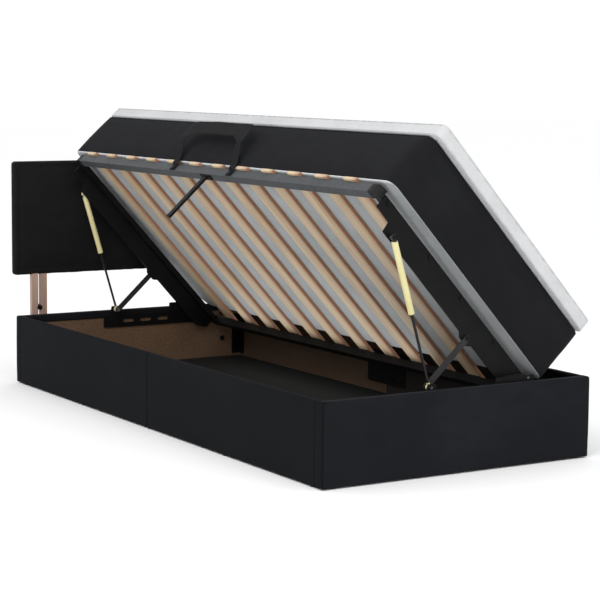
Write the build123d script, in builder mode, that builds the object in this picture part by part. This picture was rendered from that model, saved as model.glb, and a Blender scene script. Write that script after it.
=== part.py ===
from build123d import *
import os
from math import sin, cos, radians, degrees, sqrt, atan2, hypot

# Single upholstered storage bed: a fabric-covered box base in two halves, a padded
# headboard on two slotted legs, and a lid made of a slatted steel frame that carries
# the mattress and the topper. The lid is hinged at the head end and the foot end and
# opens over the long near side (-X). It is modelled with the lid open.
# Frame: millimetres, +Z up, +Y towards the headboard, -X the side that opens,
# origin on the floor under the middle of the whole object.

os.makedirs("parts", exist_ok=True)

# ---------------------------------------------------------------- driving dimensions
box_w = 920.0            # box base, across
box_l = 2030.0           # box base, along
box_h = 240.0            # rim height
side_t = 20.0            # side panel, board and cover together
end_t = 28.0             # head and foot panel, board and cover together
skin = 2.5               # cover and its wadding
board_t = 15.5           # side board
clear_floor = 4.0        # glide height
floor_top = 39.5         # top of the storage floor
flap = 26.0              # cover turned over the rim

x_near = -box_w / 2
y_foot = -1034.0
y_head = y_foot + box_l
y_mid = (y_foot + y_head) / 2

lid_deg = 47.5           # tilt of the open lid
lid_x, lid_z = x_near + 224.6, 823.5    # near lower edge of the mattress, lid open
closed_z = 262.0         # underside of the mattress, lid closed
mat_w, mat_l, mat_t = 800.0, 2009.5, 180.0
mat_y0 = y_foot + 17.5
top_w, top_l, top_t = 784.0, 2011.0, 45.0
top_a0, top_y0 = -1.0, y_foot - 2.0

# linkage, pivots on the base (X, Z) and on the lid (a across, b through)
piv_a = (x_near + 375.0, 245.0)     # front link and strut, on the base bracket
lid_c = (528.0, -93.0)              # front link, on the lift rail
lid_e = (130.0, -88.0)              # strut eye, on the lift rail
lid_d = (712.0, -80.0)              # rear link, on the lift rail
piv_b_z = 248.0                     # rear link, on the base bracket

# distances of the linkage layers from the outer face of each end panel
d_bracket = (end_t + 0.2, end_t + 3.2)
d_strut = 42.0
d_link = (52.0, 56.0)
d_rail = (59.0, 62.0)
d_tube = (62.0, 87.0)

# slatted frame, in the lid's own coordinates
tube_b0, tube_b1, tube_wall = -40.5, -22.0, 1.5      # cross rails at the two ends
near_a, near_top = 27.0, -11.0       # near rail, width and top
far_a, far_top = 20.0, -14.0         # far rail, width and top
frame_a0, frame_a1 = 8.0, 852.0
slat_n, slat_pitch, slat_first = 12, 149.7, 220.0
slat_w, slat_t, slat_b = 63.0, 10.5, -11.0
slat_a0, slat_a1 = 1.0, 850.0

# headboard
hb_w, hb_z0, hb_z1 = 920.0, 380.0, 786.0
hb_y0, hb_y1 = y_head + 10.0, y_head + 40.0
leg_w, leg_t, leg_x = 58.0, 18.0, 363.0
leg_y0 = y_head + 14.0

# ---------------------------------------------------------------- derived positions
th = radians(lid_deg)
ua, ub = (cos(th), -sin(th)), (sin(th), cos(th))


def lid_point(a, b):
    """X and Z of a lid point with the lid open."""
    return lid_x + a * ua[0] + b * ub[0], lid_z + a * ua[1] + b * ub[1]


c_open = lid_point(*lid_c)
d_open = lid_point(*lid_d)
e_open = lid_point(*lid_e)
link_len = hypot(c_open[0] - piv_a[0], c_open[1] - piv_a[1])
closed_x = piv_a[0] - lid_c[0] + sqrt(link_len**2 - (closed_z + lid_c[1] - piv_a[1]) ** 2)
c_shut = (closed_x + lid_c[0], closed_z + lid_c[1])
d_shut = (closed_x + lid_d[0], closed_z + lid_d[1])
e_shut = (closed_x + lid_e[0], closed_z + lid_e[1])
# the rear pivot lies on the line that is equally far from both places of its lid pivot
mx, mz = (d_open[0] + d_shut[0]) / 2, (d_open[1] + d_shut[1]) / 2
px, pz = -(d_shut[1] - d_open[1]), d_shut[0] - d_open[0]
piv_b = (mx + px / pz * (piv_b_z - mz), piv_b_z)
rear_len = hypot(d_open[0] - piv_b[0], d_open[1] - piv_b[1])


def heading(p, q):
    return degrees(atan2(q[1] - p[1], q[0] - p[0]))


front_turn = heading(piv_a, c_open) - heading(piv_a, c_shut)
rear_turn = (heading(piv_b, d_open) % 360) - (heading(piv_b, d_shut) % 360)
strut_turn = (heading(piv_a, e_open) % 360) - (heading(piv_a, e_shut) % 360)
strut_open = hypot(e_open[0] - piv_a[0], e_open[1] - piv_a[1])
strut_shut = hypot(e_shut[0] - piv_a[0], e_shut[1] - piv_a[1])
print("closed x", closed_x, "link", link_len, "front turn", front_turn)
print("rear pivot", piv_b, "length", rear_len, "turn", rear_turn)
print("strut open", strut_open, "shut", strut_shut, "turn", strut_turn)
print("C", c_open, "D", d_open, "E", e_open)


def lid_layer(b):
    """Plane across the lid at height b: sketch x is a, sketch y is Y."""
    x, z = lid_point(0, b)
    return Plane(origin=(x, 0, z), x_dir=(ua[0], 0, ua[1]), z_dir=(ub[0], 0, ub[1]))


def lid_profile(y):
    """Plane at y with sketch x = a and sketch y = b; extruding goes towards the foot."""
    return Plane(origin=(lid_x, y, lid_z), x_dir=(ua[0], 0, ua[1]), z_dir=(0, -1, 0))


def base_profile(y):
    """Plane at y with sketch x = X and sketch y = Z; extruding goes towards the foot."""
    return Plane(origin=(0, y, 0), x_dir=(1, 0, 0), z_dir=(0, -1, 0))


def high(end, d):
    """Highest Y of a layer d = (near, far) counted in from an end panel's outer face."""
    return y_foot + d[1] if end == "foot" else y_head - d[0]


def level(end, d):
    return y_foot + d if end == "foot" else y_head - d


ends = ("foot", "head")
inner_x = x_near + side_t            # inner face of the near panel
halves = {"foot": (y_foot + end_t, y_mid - 0.8), "head": (y_mid + 0.8, y_head - end_t)}

# ---------------------------------------------------------------- side panels
for side, s in (("near", -1), ("far", 1)):
    for half in ends:
        y0, y1 = halves[half]
        # board inside the cover
        bx = s * (box_w / 2 - skin - board_t / 2)
        with BuildPart() as board:
            with BuildSketch(base_profile(y1 - 0.6)):
                with Locations((bx, (clear_floor + 0.5 + box_h - skin) / 2)):
                    Rectangle(board_t, box_h - skin - clear_floor - 0.5)
            extrude(amount=y1 - y0 - 1.2)
            fillet(board.edges().filter_by(Axis.Y).group_by(Axis.Z)[-1], 3.0)
        board.part.label = f"{side}_board_{half}"
        export_step(board.part, f"parts/{side}_board_{half}.step")
        # cover: outer face, over the rim and a flap inside
        with BuildPart() as cover:
            with BuildSketch(base_profile(y1)):
                with Locations((s * (box_w / 2 - side_t / 2), (clear_floor + box_h) / 2)):
                    Rectangle(side_t, box_h - clear_floor)
            extrude(amount=y1 - y0)
            fillet(cover.edges().filter_by(Axis.Y).group_by(Axis.Z)[-1], 5.5)
            outer = cover.faces().sort_by(Axis.X)[0 if s < 0 else -1]
            fillet(outer.edges().filter_by(Axis.Z), 2.0)
            with BuildSketch(base_profile(y1 + 1)):
                with Locations((bx, (box_h - skin) / 2)):
                    Rectangle(board_t, box_h - skin)
                with Locations((s * (box_w / 2 - side_t), (box_h - flap) / 2)):
                    Rectangle(6.0, box_h - flap)
            extrude(amount=y1 - y0 + 2, mode=Mode.SUBTRACT)
        cover.part.label = f"{side}_cover_{half}"
        export_step(cover.part, f"parts/{side}_cover_{half}.step")

# ---------------------------------------------------------------- head and foot panels
bolt_z = (110.0, 205.0)              # headboard bolts
for end in ends:
    s = -1 if end == "foot" else 1
    y_out = y_foot if end == "foot" else y_head
    board_y = y_out - s * (skin + 11.5)
    with BuildPart() as panel:
        with BuildSketch(base_profile(board_y + 11.5)):
            with Locations((0, (clear_floor + 0.5 + box_h - skin) / 2)):
                Rectangle(box_w - 2 * skin, box_h - skin - clear_floor - 0.5)
        extrude(amount=23.0)
        fillet(panel.edges().filter_by(Axis.X).group_by(Axis.Z)[-1], 3.0)
        if end == "head":
            with BuildSketch(base_profile(y_head + 1)):
                with Locations(*[(sx * leg_x, z) for sx in (-1, 1) for z in bolt_z]):
                    Circle(4.3)
            extrude(amount=end_t + 2, mode=Mode.SUBTRACT)
    panel.part.label = f"{end}_end_board"
    export_step(panel.part, f"parts/{end}_end_board.step")
    with BuildPart() as wrap:
        with BuildSketch(base_profile(y_out if end == "head" else y_out + end_t)):
            with Locations((0, (clear_floor + box_h) / 2)):
                Rectangle(box_w, box_h - clear_floor)
        extrude(amount=end_t)
        fillet(wrap.edges().filter_by(Axis.X).group_by(Axis.Z)[-1], 5.5)
        face = wrap.faces().sort_by(Axis.Y)[0 if end == "foot" else -1]
        fillet(face.edges().filter_by(Axis.Z), 4.0)
        with BuildSketch(base_profile(board_y + 11.5)):
            with Locations((0, (box_h - skin) / 2)):
                Rectangle(box_w - 2 * skin, box_h - skin)
        extrude(amount=23.0, mode=Mode.SUBTRACT)
        with BuildSketch(base_profile(y_out - s * (skin + 23.0) + (6.0 if end == "foot" else 0))):
            with Locations((0, (box_h - flap) / 2)):
                Rectangle(box_w - 2 * skin, box_h - flap)
        extrude(amount=6.0, mode=Mode.SUBTRACT)
        if end == "head":
            with BuildSketch(base_profile(y_head + 1)):
                with Locations(*[(sx * leg_x, z) for sx in (-1, 1) for z in bolt_z]):
                    Circle(4.3)
            extrude(amount=end_t + 2, mode=Mode.SUBTRACT)
    wrap.part.label = f"{end}_end_cover"
    export_step(wrap.part, f"parts/{end}_end_cover.step")

# ---------------------------------------------------------------- storage floor
batten_y = [y_foot + d for d in (62.0, 540.0, 1015.0, 1490.0, 1968.0)]
with BuildPart() as battens:
    with BuildSketch(Plane.XY.offset(clear_floor)):
        with Locations(*[(0, y) for y in batten_y]):
            Rectangle(box_w - 2 * side_t - 2, 44.0)
    extrude(amount=floor_top - 11.5 - clear_floor)
battens.part.label = "floor_battens"
export_step(battens.part, "parts/floor_battens.step")

for half in ends:
    y0, y1 = (y_foot + end_t + 0.5, y_mid - 0.5) if half == "foot" else (y_mid + 0.5, y_head - end_t - 0.5)
    with BuildPart() as floor:
        with BuildSketch(Plane.XY.offset(floor_top - 11.5)):
            with Locations((0, (y0 + y1) / 2)):
                RectangleRounded(box_w - 2 * side_t - 1, y1 - y0, 3.0)
        extrude(amount=11.5)
    floor.part.label = f"floor_panel_{half}"
    export_step(floor.part, f"parts/floor_panel_{half}.step")

with BuildPart() as glides:
    with BuildSketch(Plane.XY):
        with Locations(*[(sx * (box_w / 2 - 11.0), y) for sx in (-1, 1) for y in batten_y]):
            Circle(8.5)
        with Locations(*[(sx * 230.0, y) for sx in (-1, 1) for y in batten_y]):
            Circle(16.0)
        with Locations(*[(sx * 420.0, y) for sx in (-1, 1) for y in (y_foot + 14.0, y_head - 14.0)]):
            Circle(10.0)
    extrude(amount=clear_floor)
    fillet(glides.edges().group_by(Axis.Z)[0], 1.0)
glides.part.label = "floor_glides"
export_step(glides.part, "parts/floor_glides.step")

# ---------------------------------------------------------------- corner angles and joining plates
board_in = box_w / 2 - skin - board_t    # inner face of a side board
end_in = end_t - 2.5                  # inner face of an end board, from outside
bend, angle_leg = 2.5, 34.0
with BuildPart() as angles:
    with BuildSketch(Plane.XY.offset(48.0)):
        for sx in (-1, 1):
            for sy, ye in ((1, y_foot), (-1, y_head)):
                yb = ye + sy * (end_in + 0.0)
                with Locations((sx * (board_in - bend / 2), yb + sy * angle_leg / 2)):
                    Rectangle(bend, angle_leg)
                with Locations((sx * (board_in - angle_leg / 2), yb + sy * bend / 2)):
                    Rectangle(angle_leg, bend)
    extrude(amount=150.0)
angles.part.label = "corner_angles"
export_step(angles.part, "parts/corner_angles.step")

plate_x = board_in - 1.5
with BuildPart() as plates:
    for sx in (-1, 1):
        with BuildSketch(Plane.YZ.offset(sx * plate_x - 1.5)):
            with Locations((y_mid, 125.0)):
                RectangleRounded(220.0, 110.0, 8.0)
        extrude(amount=3.0)
plates.part.label = "joining_plates"
export_step(plates.part, "parts/joining_plates.step")

# ---------------------------------------------------------------- base brackets of the lift
bracket_screws = [(x_near + x, z) for x in (350.0, 470.0, 590.0, 715.0) for z in (198.0,)]
for end in ends:
    with BuildPart() as bracket:
        with BuildSketch(base_profile(high(end, d_bracket))):
            with BuildLine():
                Polyline(
                    (x_near + 330, 178), (x_near + 735, 178), (x_near + 735, 256),
                    (x_near + 598, 256), (x_near + 598, 222), (x_near + 398, 222),
                    (x_near + 388, 256), (x_near + 362, 256), (x_near + 352, 222),
                    (x_near + 330, 222), close=True,
                )
            make_face()
            fillet(vertices(), 5.0)
            with Locations((piv_a[0], piv_a[1]), (piv_b[0], piv_b[1])):
                Circle(4.0, mode=Mode.SUBTRACT)
            with Locations(*[(x_near + x, 200.0) for x in (430.0, 500.0, 570.0)]):
                SlotOverall(44.0, 12.0, mode=Mode.SUBTRACT)
        extrude(amount=3.0)
    bracket.part.label = f"base_bracket_{end}"
    export_step(bracket.part, f"parts/base_bracket_{end}.step")

# stepped pins, each welded in the bracket, with a cap beyond the link
with BuildPart() as pins:
    for end in ends:
        for (x, z), r in ((piv_a, 4.0), (piv_b, 4.0)):
            for d0, d1, rr in ((d_bracket[0], d_link[1] + 0.6, r), (d_bracket[1], 33.6, 6.5), (d_link[1] + 0.6, 58.4, 6.5)):
                with BuildSketch(base_profile(high(end, (d0, d1)))):
                    with Locations((x, z)):
                        Circle(rr)
                extrude(amount=d1 - d0)
        # long boss of the rear pin, and the collar between strut and front link
        for (x, z), d0, d1, rr in ((piv_b, 33.6, 51.6, 6.5), (piv_a, 49.8, 51.6, 6.5)):
            with BuildSketch(base_profile(high(end, (d0, d1)))):
                with Locations((x, z)):
                    Circle(rr)
            extrude(amount=d1 - d0)
pins.part.label = "lower_pivot_pins"
export_step(pins.part, "parts/lower_pivot_pins.step")

# ---------------------------------------------------------------- screws and bolts of the base
with BuildPart() as bolts:
    for end in ends:
        # bracket screws
        with BuildSketch(base_profile(high(end, (d_bracket[1], d_bracket[1] + 3.0)))):
            with Locations(*[(x_near + x, 190.0) for x in (345.0, 395.0, 620.0, 715.0)]):
                Circle(6.0)
        extrude(amount=3.0)
        # corner angle screws, on the end boards
        yb = level(end, end_in + bend + 2.6) if end == "foot" else level(end, end_in + bend)
        with BuildSketch(base_profile(yb if end == "head" else level(end, end_in + bend + 2.6))):
            with Locations(*[(sx * (board_in - 22.0), z) for sx in (-1, 1) for z in (75.0, 123.0, 171.0)]):
                Circle(4.5)
        extrude(amount=2.6)
    for sx in (-1, 1):
        # corner angle screws, on the side boards
        x0 = sx * (board_in - bend) - (2.6 if sx > 0 else 0.0)
        with BuildSketch(Plane.YZ.offset(x0)):
            with Locations(*[(y, z) for y in (y_foot + end_in + 22, y_head - end_in - 22) for z in (75.0, 123.0, 171.0)]):
                Circle(4.5)
        extrude(amount=2.6)
        # joining plate screws
        x0 = sx * (board_in - 3.0) - (2.6 if sx > 0 else 0.0)
        with BuildSketch(Plane.YZ.offset(x0)):
            with Locations(*[(y_mid + dy, z) for dy in (-85.0, -35.0, 35.0, 85.0) for z in (92.0, 158.0)]):
                Circle(5.0)
        extrude(amount=2.6)
bolts.part.label = "base_screws"
export_step(bolts.part, "parts/base_screws.step")

# ---------------------------------------------------------------- headboard
with BuildPart() as legs:
    with BuildSketch(base_profile(leg_y0 + leg_t)):
        with Locations(*[(s * leg_x, (70.0 + 700.0) / 2) for s in (-1, 1)]):
            RectangleRounded(leg_w, 630.0, 4.0)
        with Locations(*[(s * leg_x, (90.0 + 420.0) / 2) for s in (-1, 1)]):
            SlotOverall(330.0, 10.0, rotation=90, mode=Mode.SUBTRACT)
    extrude(amount=leg_t)
legs.part.label = "headboard_legs"
export_step(legs.part, "parts/headboard_legs.step")

with BuildPart() as spacers:
    with BuildSketch(base_profile(leg_y0)):
        with Locations(*[(s * leg_x, 157.5) for s in (-1, 1)]):
            RectangleRounded(leg_w - 2.0, 150.0, 4.0)
        with Locations(*[(sx * leg_x, z) for sx in (-1, 1) for z in bolt_z]):
            Circle(4.3, mode=Mode.SUBTRACT)
    extrude(amount=leg_y0 - y_head)
spacers.part.label = "headboard_spacers"
export_step(spacers.part, "parts/headboard_spacers.step")

with BuildPart() as hbolts:
    for s in (-1, 1):
        for z in bolt_z:
            # coach bolt: shank through spacer and panel, washer and nut behind the leg
            for y1, t, r in ((leg_y0 + leg_t + 9.0, leg_t + 9.0 + (leg_y0 - y_head) + end_t + 0.5, 4.0),
                             (leg_y0 + leg_t + 2.0, 2.0, 11.0),
                             (leg_y0 + leg_t + 8.0, 6.0, 6.5),
                             (y_head - end_t - 0.1, 4.0, 9.0)):
                with BuildSketch(base_profile(y1)):
                    with Locations((s * leg_x, z)):
                        Circle(r)
                extrude(amount=t)
        # short bolt that ties the leg's slot just above the rim
        for y1, t, r in ((leg_y0 + leg_t + 8.0, leg_t + 8.0, 4.0),
                         (leg_y0 + leg_t + 2.0, 2.0, 11.0),
                         (leg_y0, 4.0, 9.0)):
            with BuildSketch(base_profile(y1)):
                with Locations((s * leg_x, 262.0)):
                    Circle(r)
            extrude(amount=t)
hbolts.part.label = "headboard_bolts"
export_step(hbolts.part, "parts/headboard_bolts.step")

core_y0 = hb_y0 + 12.0
with BuildPart() as core:
    with BuildSketch(base_profile(hb_y1 - 2.5)):
        with Locations((0, (hb_z0 + hb_z1) / 2)):
            Rectangle(hb_w - 14.0, hb_z1 - hb_z0 - 14.0)
    extrude(amount=hb_y1 - 2.5 - core_y0)
    # pockets for the two legs, open at the bottom
    with BuildSketch(base_profile(leg_y0 + leg_t + 0.5)):
        with Locations(*[(s * leg_x, (hb_z0 + 702.0) / 2) for s in (-1, 1)]):
            Rectangle(leg_w + 1.0, 702.0 - hb_z0 + 1.0)
    extrude(amount=leg_t + 40.0, mode=Mode.SUBTRACT)
core.part.label = "headboard_core"
export_step(core.part, "parts/headboard_core.step")

with BuildPart() as hcover:
    with BuildSketch(base_profile(hb_y1)):
        with Locations((0, (hb_z0 + hb_z1) / 2)):
            RectangleRounded(hb_w, hb_z1 - hb_z0, 12.0)
    extrude(amount=hb_y1 - hb_y0)
    fillet(hcover.faces().sort_by(Axis.Y)[0].edges(), 8.0)
    # room for the core
    with BuildSketch(base_profile(hb_y1 - 2.5)):
        with Locations((0, (hb_z0 + hb_z1) / 2)):
            Rectangle(hb_w - 14.0, hb_z1 - hb_z0 - 14.0)
    extrude(amount=hb_y1 - 2.5 - core_y0, mode=Mode.SUBTRACT)
    # room for the legs, through the lower edge
    with BuildSketch(base_profile(leg_y0 + leg_t + 0.5)):
        with Locations(*[(s * leg_x, hb_z0 + 3.0) for s in (-1, 1)]):
            Rectangle(leg_w + 1.0, 30.0)
        with Locations(*[(s * leg_x, hb_z0 + 162.0) for s in (-1, 1)]):
            Rectangle(leg_w + 1.0, 321.0)
    extrude(amount=leg_t + 1.0, mode=Mode.SUBTRACT)
hcover.part.label = "headboard_cover"
export_step(hcover.part, "parts/headboard_cover.step")

# ---------------------------------------------------------------- links, one at each end
for name, p, q, length in (("front_links", piv_a, c_open, link_len), ("rear_links", piv_b, d_open, rear_len)):
    with BuildPart() as link:
        mid = ((p[0] + q[0]) / 2, (p[1] + q[1]) / 2)
        for end in ends:
            with BuildSketch(base_profile(high(end, d_link))):
                with Locations(Location((mid[0], mid[1], 0), (0, 0, heading(p, q)))):
                    SlotCenterToCenter(length, 18.0)
                with Locations(p, q):
                    Circle(4.05, mode=Mode.SUBTRACT)
            extrude(amount=d_link[1] - d_link[0])
    link.part.label = name
    export_step(link.part, f"parts/{name}.step")

# ---------------------------------------------------------------- gas struts
strut_dir = Vector(e_open[0] - piv_a[0], 0, e_open[1] - piv_a[1]).normalized()
cyl_reach, rod_reach = 224.8, 223.6
for end in ends:
    yc = level(end, d_strut)
    foot_point = Vector(piv_a[0], yc, piv_a[1])
    eye_point = Vector(e_open[0], yc, e_open[1])

    def along(start, direction, dist):
        return Plane(origin=start + direction * dist, x_dir=(0, 1, 0), z_dir=direction)

    with BuildPart() as rod:
        # ring end on the base pin
        with BuildSketch(base_profile(yc + 6.5)):
            with Locations((piv_a[0], piv_a[1])):
                Circle(9.0)
        extrude(amount=13.0)
        fillet(rod.edges().filter_by(GeomType.CIRCLE), 2.0)
        with BuildSketch(along(foot_point, strut_dir, 5.0)):
            Circle(5.0)
        extrude(amount=7.6)
        with BuildSketch(along(foot_point, strut_dir, 5.0)):
            Circle(4.0)
        extrude(amount=rod_reach - 5.0)
        with BuildSketch(along(foot_point, strut_dir, rod_reach - 4.2)):
            Circle(6.6)
        extrude(amount=4.2)
        with BuildSketch(base_profile(yc + 7)):
            with Locations((piv_a[0], piv_a[1])):
                Circle(4.05)
        extrude(amount=14.0, mode=Mode.SUBTRACT)
    rod.part.label = f"strut_rod_{end}"
    export_step(rod.part, f"parts/strut_rod_{end}.step")

    back = strut_dir * -1
    with BuildPart() as cyl:
        with BuildSketch(base_profile(yc + 6.0)):
            with Locations((e_open[0], e_open[1])):
                Circle(9.0)
        extrude(amount=12.0)
        fillet(cyl.edges().filter_by(GeomType.CIRCLE), 2.0)
        with BuildSketch(along(eye_point, back, 5.0)):
            Circle(5.5)
        extrude(amount=9.5)
        with BuildSketch(along(eye_point, back, 12.5)):
            Circle(9.0)
        extrude(amount=cyl_reach - 12.5)
        fillet(cyl.edges().filter_by(GeomType.CIRCLE).sort_by(lambda e: (e.center() - eye_point).length)[-1], 1.5)
        with BuildSketch(along(eye_point, back, 14.0)):
            Circle(6.8)
        extrude(amount=cyl_reach - 14.0 - 1.2, mode=Mode.SUBTRACT)
        with BuildSketch(along(eye_point, back, cyl_reach - 3.0)):
            Circle(4.1)
        extrude(amount=6.0, mode=Mode.SUBTRACT)
        with BuildSketch(base_profile(yc + 7)):
            with Locations((e_open[0], e_open[1])):
                Circle(4.4)
        extrude(amount=14.0, mode=Mode.SUBTRACT)
    cyl.part.label = f"strut_cylinder_{end}"
    export_step(cyl.part, f"parts/strut_cylinder_{end}.step")

# ---------------------------------------------------------------- lift rails on the lid
for end in ends:
    with BuildPart() as rail:
        with BuildSketch(lid_profile(high(end, d_rail))):
            with BuildLine():
                Polyline(
                    (38, -22), (836, -22), (836, -70), (800, -95), (700, -96), (560, -96), (546, -108),
                    (510, -108), (496, -96), (104, -96), (98, -66), (38, -64), close=True,
                )
            make_face()
            fillet(vertices().group_by(Axis.Y)[0], 6.0)
            with Locations(lid_c):
                Circle(4.0, mode=Mode.SUBTRACT)
        extrude(amount=3.0)
    rail.part.label = f"lift_rail_{end}"
    export_step(rail.part, f"parts/lift_rail_{end}.step")

with BuildPart() as upins:
    for end in ends:
        for d0, d1, rr in ((d_link[0] - 0.6, d_rail[1], 4.0), (d_link[0] - 3.0, d_link[0] - 0.4, 6.5),
                           (d_link[1] + 0.4, d_rail[0], 6.5)):
            with BuildSketch(lid_profile(high(end, (d0, d1)))):
                with Locations(lid_c):
                    Circle(rr)
            extrude(amount=d1 - d0)
upins.part.label = "upper_pivot_pins"
export_step(upins.part, "parts/upper_pivot_pins.step")

# studs that reach the lift rails from the struts and the rear links; each stops
# 0.3 mm short of its rail
with BuildPart() as studs:
    for end in ends:
        for d0, d1, rr in ((d_strut - 8.0, d_rail[0] - 0.3, 4.4), (d_strut - 9.5, d_strut - 7.0, 6.5),
                           (d_strut + 7.0, d_rail[0] - 0.3, 6.0)):
            with BuildSketch(lid_profile(high(end, (d0, d1)))):
                with Locations(lid_e):
                    Circle(rr)
            extrude(amount=d1 - d0)
studs.part.label = "strut_studs"
export_step(studs.part, "parts/strut_studs.step")

with BuildPart() as rstuds:
    for end in ends:
        for d0, d1, rr in ((d_link[0] - 2.0, d_rail[0] - 0.3, 4.05), (d_link[0] - 2.5, d_link[0], 6.5),
                           (d_link[1], d_rail[0] - 0.3, 6.5)):
            with BuildSketch(lid_profile(high(end, (d0, d1)))):
                with Locations(lid_d):
                    Circle(rr)
            extrude(amount=d1 - d0)
rstuds.part.label = "rear_link_studs"
export_step(rstuds.part, "parts/rear_link_studs.step")

# ---------------------------------------------------------------- slatted frame
tube_y0, tube_y1 = y_foot + d_tube[0], y_head - d_tube[0]
for name, a0, wide, top in (("near_rail", frame_a0, near_a, near_top), ("far_rail", frame_a1 - far_a, far_a, far_top)):
    with BuildPart() as tube:
        with BuildSketch(lid_layer(tube_b0)):
            with Locations((a0 + wide / 2, (tube_y0 + tube_y1) / 2)):
                Rectangle(wide, tube_y1 - tube_y0)
            fillet(vertices().group_by(Axis.X)[0 if name == "near_rail" else -1], wide - 4.0)
        extrude(amount=top - tube_b0)
        with BuildSketch(lid_layer(tube_b0 + tube_wall)):
            with Locations((a0 + wide / 2, (tube_y0 + tube_y1) / 2)):
                Rectangle(wide - 2 * tube_wall, tube_y1 - tube_y0 - 60.0)
        extrude(amount=top - tube_b0 - 2 * tube_wall, mode=Mode.SUBTRACT)
    tube.part.label = name
    export_step(tube.part, f"parts/{name}.step")

cross_mid = (frame_a0 + near_a + frame_a1 - far_a) / 2
cross_len = frame_a1 - far_a - frame_a0 - near_a
for end in ends:
    with BuildPart() as cross:
        yc = level(end, (d_tube[0] + d_tube[1]) / 2)
        with BuildSketch(lid_layer(tube_b0)):
            with Locations((cross_mid, yc)):
                Rectangle(cross_len, d_tube[1] - d_tube[0])
        extrude(amount=tube_b1 - tube_b0)
        with BuildSketch(lid_layer(tube_b0 + tube_wall)):
            with Locations((cross_mid, yc)):
                Rectangle(cross_len - 12, d_tube[1] - d_tube[0] - 2 * tube_wall)
        extrude(amount=tube_b1 - tube_b0 - 2 * tube_wall, mode=Mode.SUBTRACT)
    cross.part.label = f"{end}_rail"
    export_step(cross.part, f"parts/{end}_rail.step")

slat_y = [y_foot + slat_first + slat_pitch * k for k in range(slat_n)]
for k, y in enumerate(slat_y, start=1):
    with BuildPart() as slat:
        with BuildSketch(lid_layer(slat_b)):
            with Locations(((slat_a0 + slat_a1) / 2, y)):
                Rectangle(slat_a1 - slat_a0, slat_w)
        extrude(amount=slat_t)
        fillet(slat.edges().filter_by(lambda e: abs(e.tangent_at(0.5).Y) < 0.1 and e.length > 500), 2.0)
    slat.part.label = f"slat_{k:02d}"
    export_step(slat.part, f"parts/slat_{k:02d}.step")

# moulded holders: a block under each slat on the near rail's inner side, a pad on the far rail
with BuildPart() as holders:
    for y in slat_y:
        for a, wide, low in ((frame_a0 + near_a + 4.0, 8.0, slat_b - 14.0), (frame_a1 - far_a / 2, far_a - 2.0, far_top)):
            with BuildSketch(lid_layer(low)):
                with Locations((a, y)):
                    Rectangle(wide, slat_w - 6.0)
            extrude(amount=slat_b - low)
holders.part.label = "slat_holders"
export_step(holders.part, "parts/slat_holders.step")

# ---------------------------------------------------------------- middle support leg
with BuildPart() as prop:
    with BuildSketch(lid_layer(tube_b0)):
        with Locations((frame_a0 + 12.0, y_mid)):
            Rectangle(20.0, 60.0)
    extrude(amount=-4.0)
    with BuildSketch(lid_layer(tube_b0 - 4.0)):
        with Locations((frame_a0 + 10.0, y_mid)):
            Rectangle(8.0, 20.0)
    extrude(amount=-(222.0 + tube_b0 - 4.0 - 4.0))
    with BuildSketch(lid_layer(-218.0)):
        with Locations((frame_a0 + 10.0, y_mid)):
            Circle(8.0)
    extrude(amount=-3.7)
prop.part.label = "support_leg"
export_step(prop.part, "parts/support_leg.step")

# ---------------------------------------------------------------- lifting strap
strap_y = (y_foot + 871.0, y_foot + 1235.0)
strap_w, strap_t = 34.0, 3.0
grip_a, grip_b = -40.0, (60.0, 80.0, 138.0)     # distance from the mattress, fold, lower and upper edge
band = [(7.7, -38), (7.7, -17.5), (0.3, -12.0), (-0.8, 0), (-4.5, 10), (grip_a, grip_b[0] + 1.0)]
with BuildPart() as strap:
    side = []
    for i, (a, b) in enumerate(band):
        p, q = band[max(i - 1, 0)], band[min(i + 1, len(band) - 1)]
        n = Vector(-(q[1] - p[1]), q[0] - p[0], 0).normalized()
        side.append((a + n.X * strap_t, b + n.Y * strap_t))
    for y in strap_y:
        with BuildSketch(lid_profile(y + strap_w / 2)):
            with BuildLine():
                Polyline(*(band + side[::-1]), close=True)
            make_face()
        extrude(amount=strap_w)
    # grip: stands off the mattress, folded at both upper corners
    gx, gz = lid_point(grip_a, 0)
    y0, y1 = strap_y[0] - strap_w / 2, strap_y[1] + strap_w / 2
    with BuildSketch(Plane(origin=(gx, 0, gz), x_dir=(0, 1, 0), z_dir=(-ua[0], 0, -ua[1]))):
        with BuildLine():
            Polyline(
                (y0, -grip_b[0]), (y0 + strap_w, -grip_b[0]), (y0 + 72, -grip_b[1]), (y1 - 96, -grip_b[1]),
                (y1 - strap_w, -grip_b[0]), (y1, -grip_b[0]), (y1 - 4, -105), (y1 - 22, -grip_b[2]),
                (y0 + 24, -grip_b[2]), (y0 + 5, -105), close=True,
            )
        make_face()
    extrude(amount=strap_t)
strap.part.label = "lifting_strap"
export_step(strap.part, "parts/lifting_strap.step")

# ---------------------------------------------------------------- screws of the lid
with BuildPart() as lscrews:
    for y in strap_y:
        with BuildSketch(Plane(origin=(lid_point(4.7, -28)[0], y, lid_point(4.7, -28)[1]), x_dir=(0, 1, 0), z_dir=(-ua[0], 0, -ua[1]))):
            Circle(7.0)
        extrude(amount=1.8)    # flat heads: they pass the near panel's cover
    for end in ends:
        with BuildSketch(lid_profile(high(end, (d_rail[0] - 3.0, d_rail[0])))):
            with Locations(*[(a, -31.0) for a in (60.0, 269.0, 432.0, 610.0, 790.0)]):
                Circle(7.0)
        extrude(amount=3.0)
lscrews.part.label = "lid_screws"
export_step(lscrews.part, "parts/lid_screws.step")

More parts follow.
